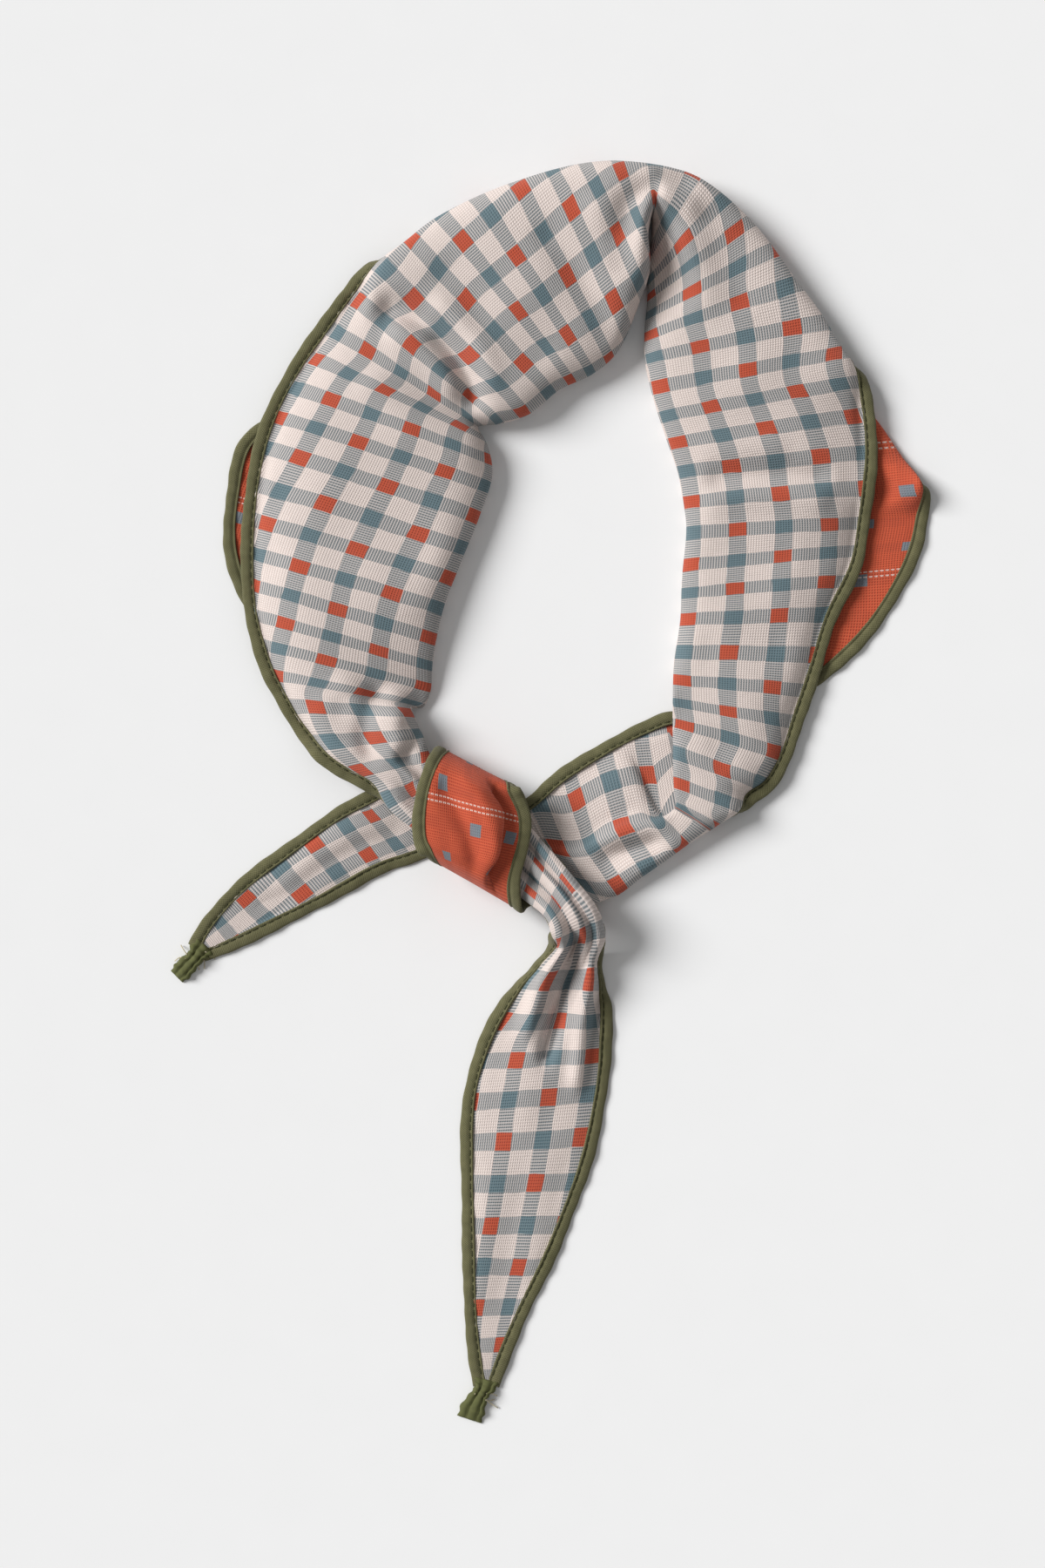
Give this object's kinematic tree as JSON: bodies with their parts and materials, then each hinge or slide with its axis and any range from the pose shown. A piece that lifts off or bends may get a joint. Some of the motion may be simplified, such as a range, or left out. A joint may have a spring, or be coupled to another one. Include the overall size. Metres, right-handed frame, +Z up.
{
  "type": "checked neckerchief",
  "caption": "Long pointed checked neckerchief with taped edges, folded lengthwise, laid in a ring and tied in a half knot with two free tails.",
  "frame": {"origin": "centre of the footprint, on the surface that the neckerchief lies on", "axes": "+Y from the tails towards the top of the ring, +Z up from the surface"},
  "size_m": [0.2622, 0.4322, 0.022],
  "materials": {
    "check_cloth": "matte",
    "edge_tape": "matte"
  },
  "bodies": {
    "root": {"cloth": "check_cloth", "tape_outer": "edge_tape", "tape_inner": "edge_tape", "tip_left": "edge_tape", "tip_down": "edge_tape"}
  },
  "joints": []
}
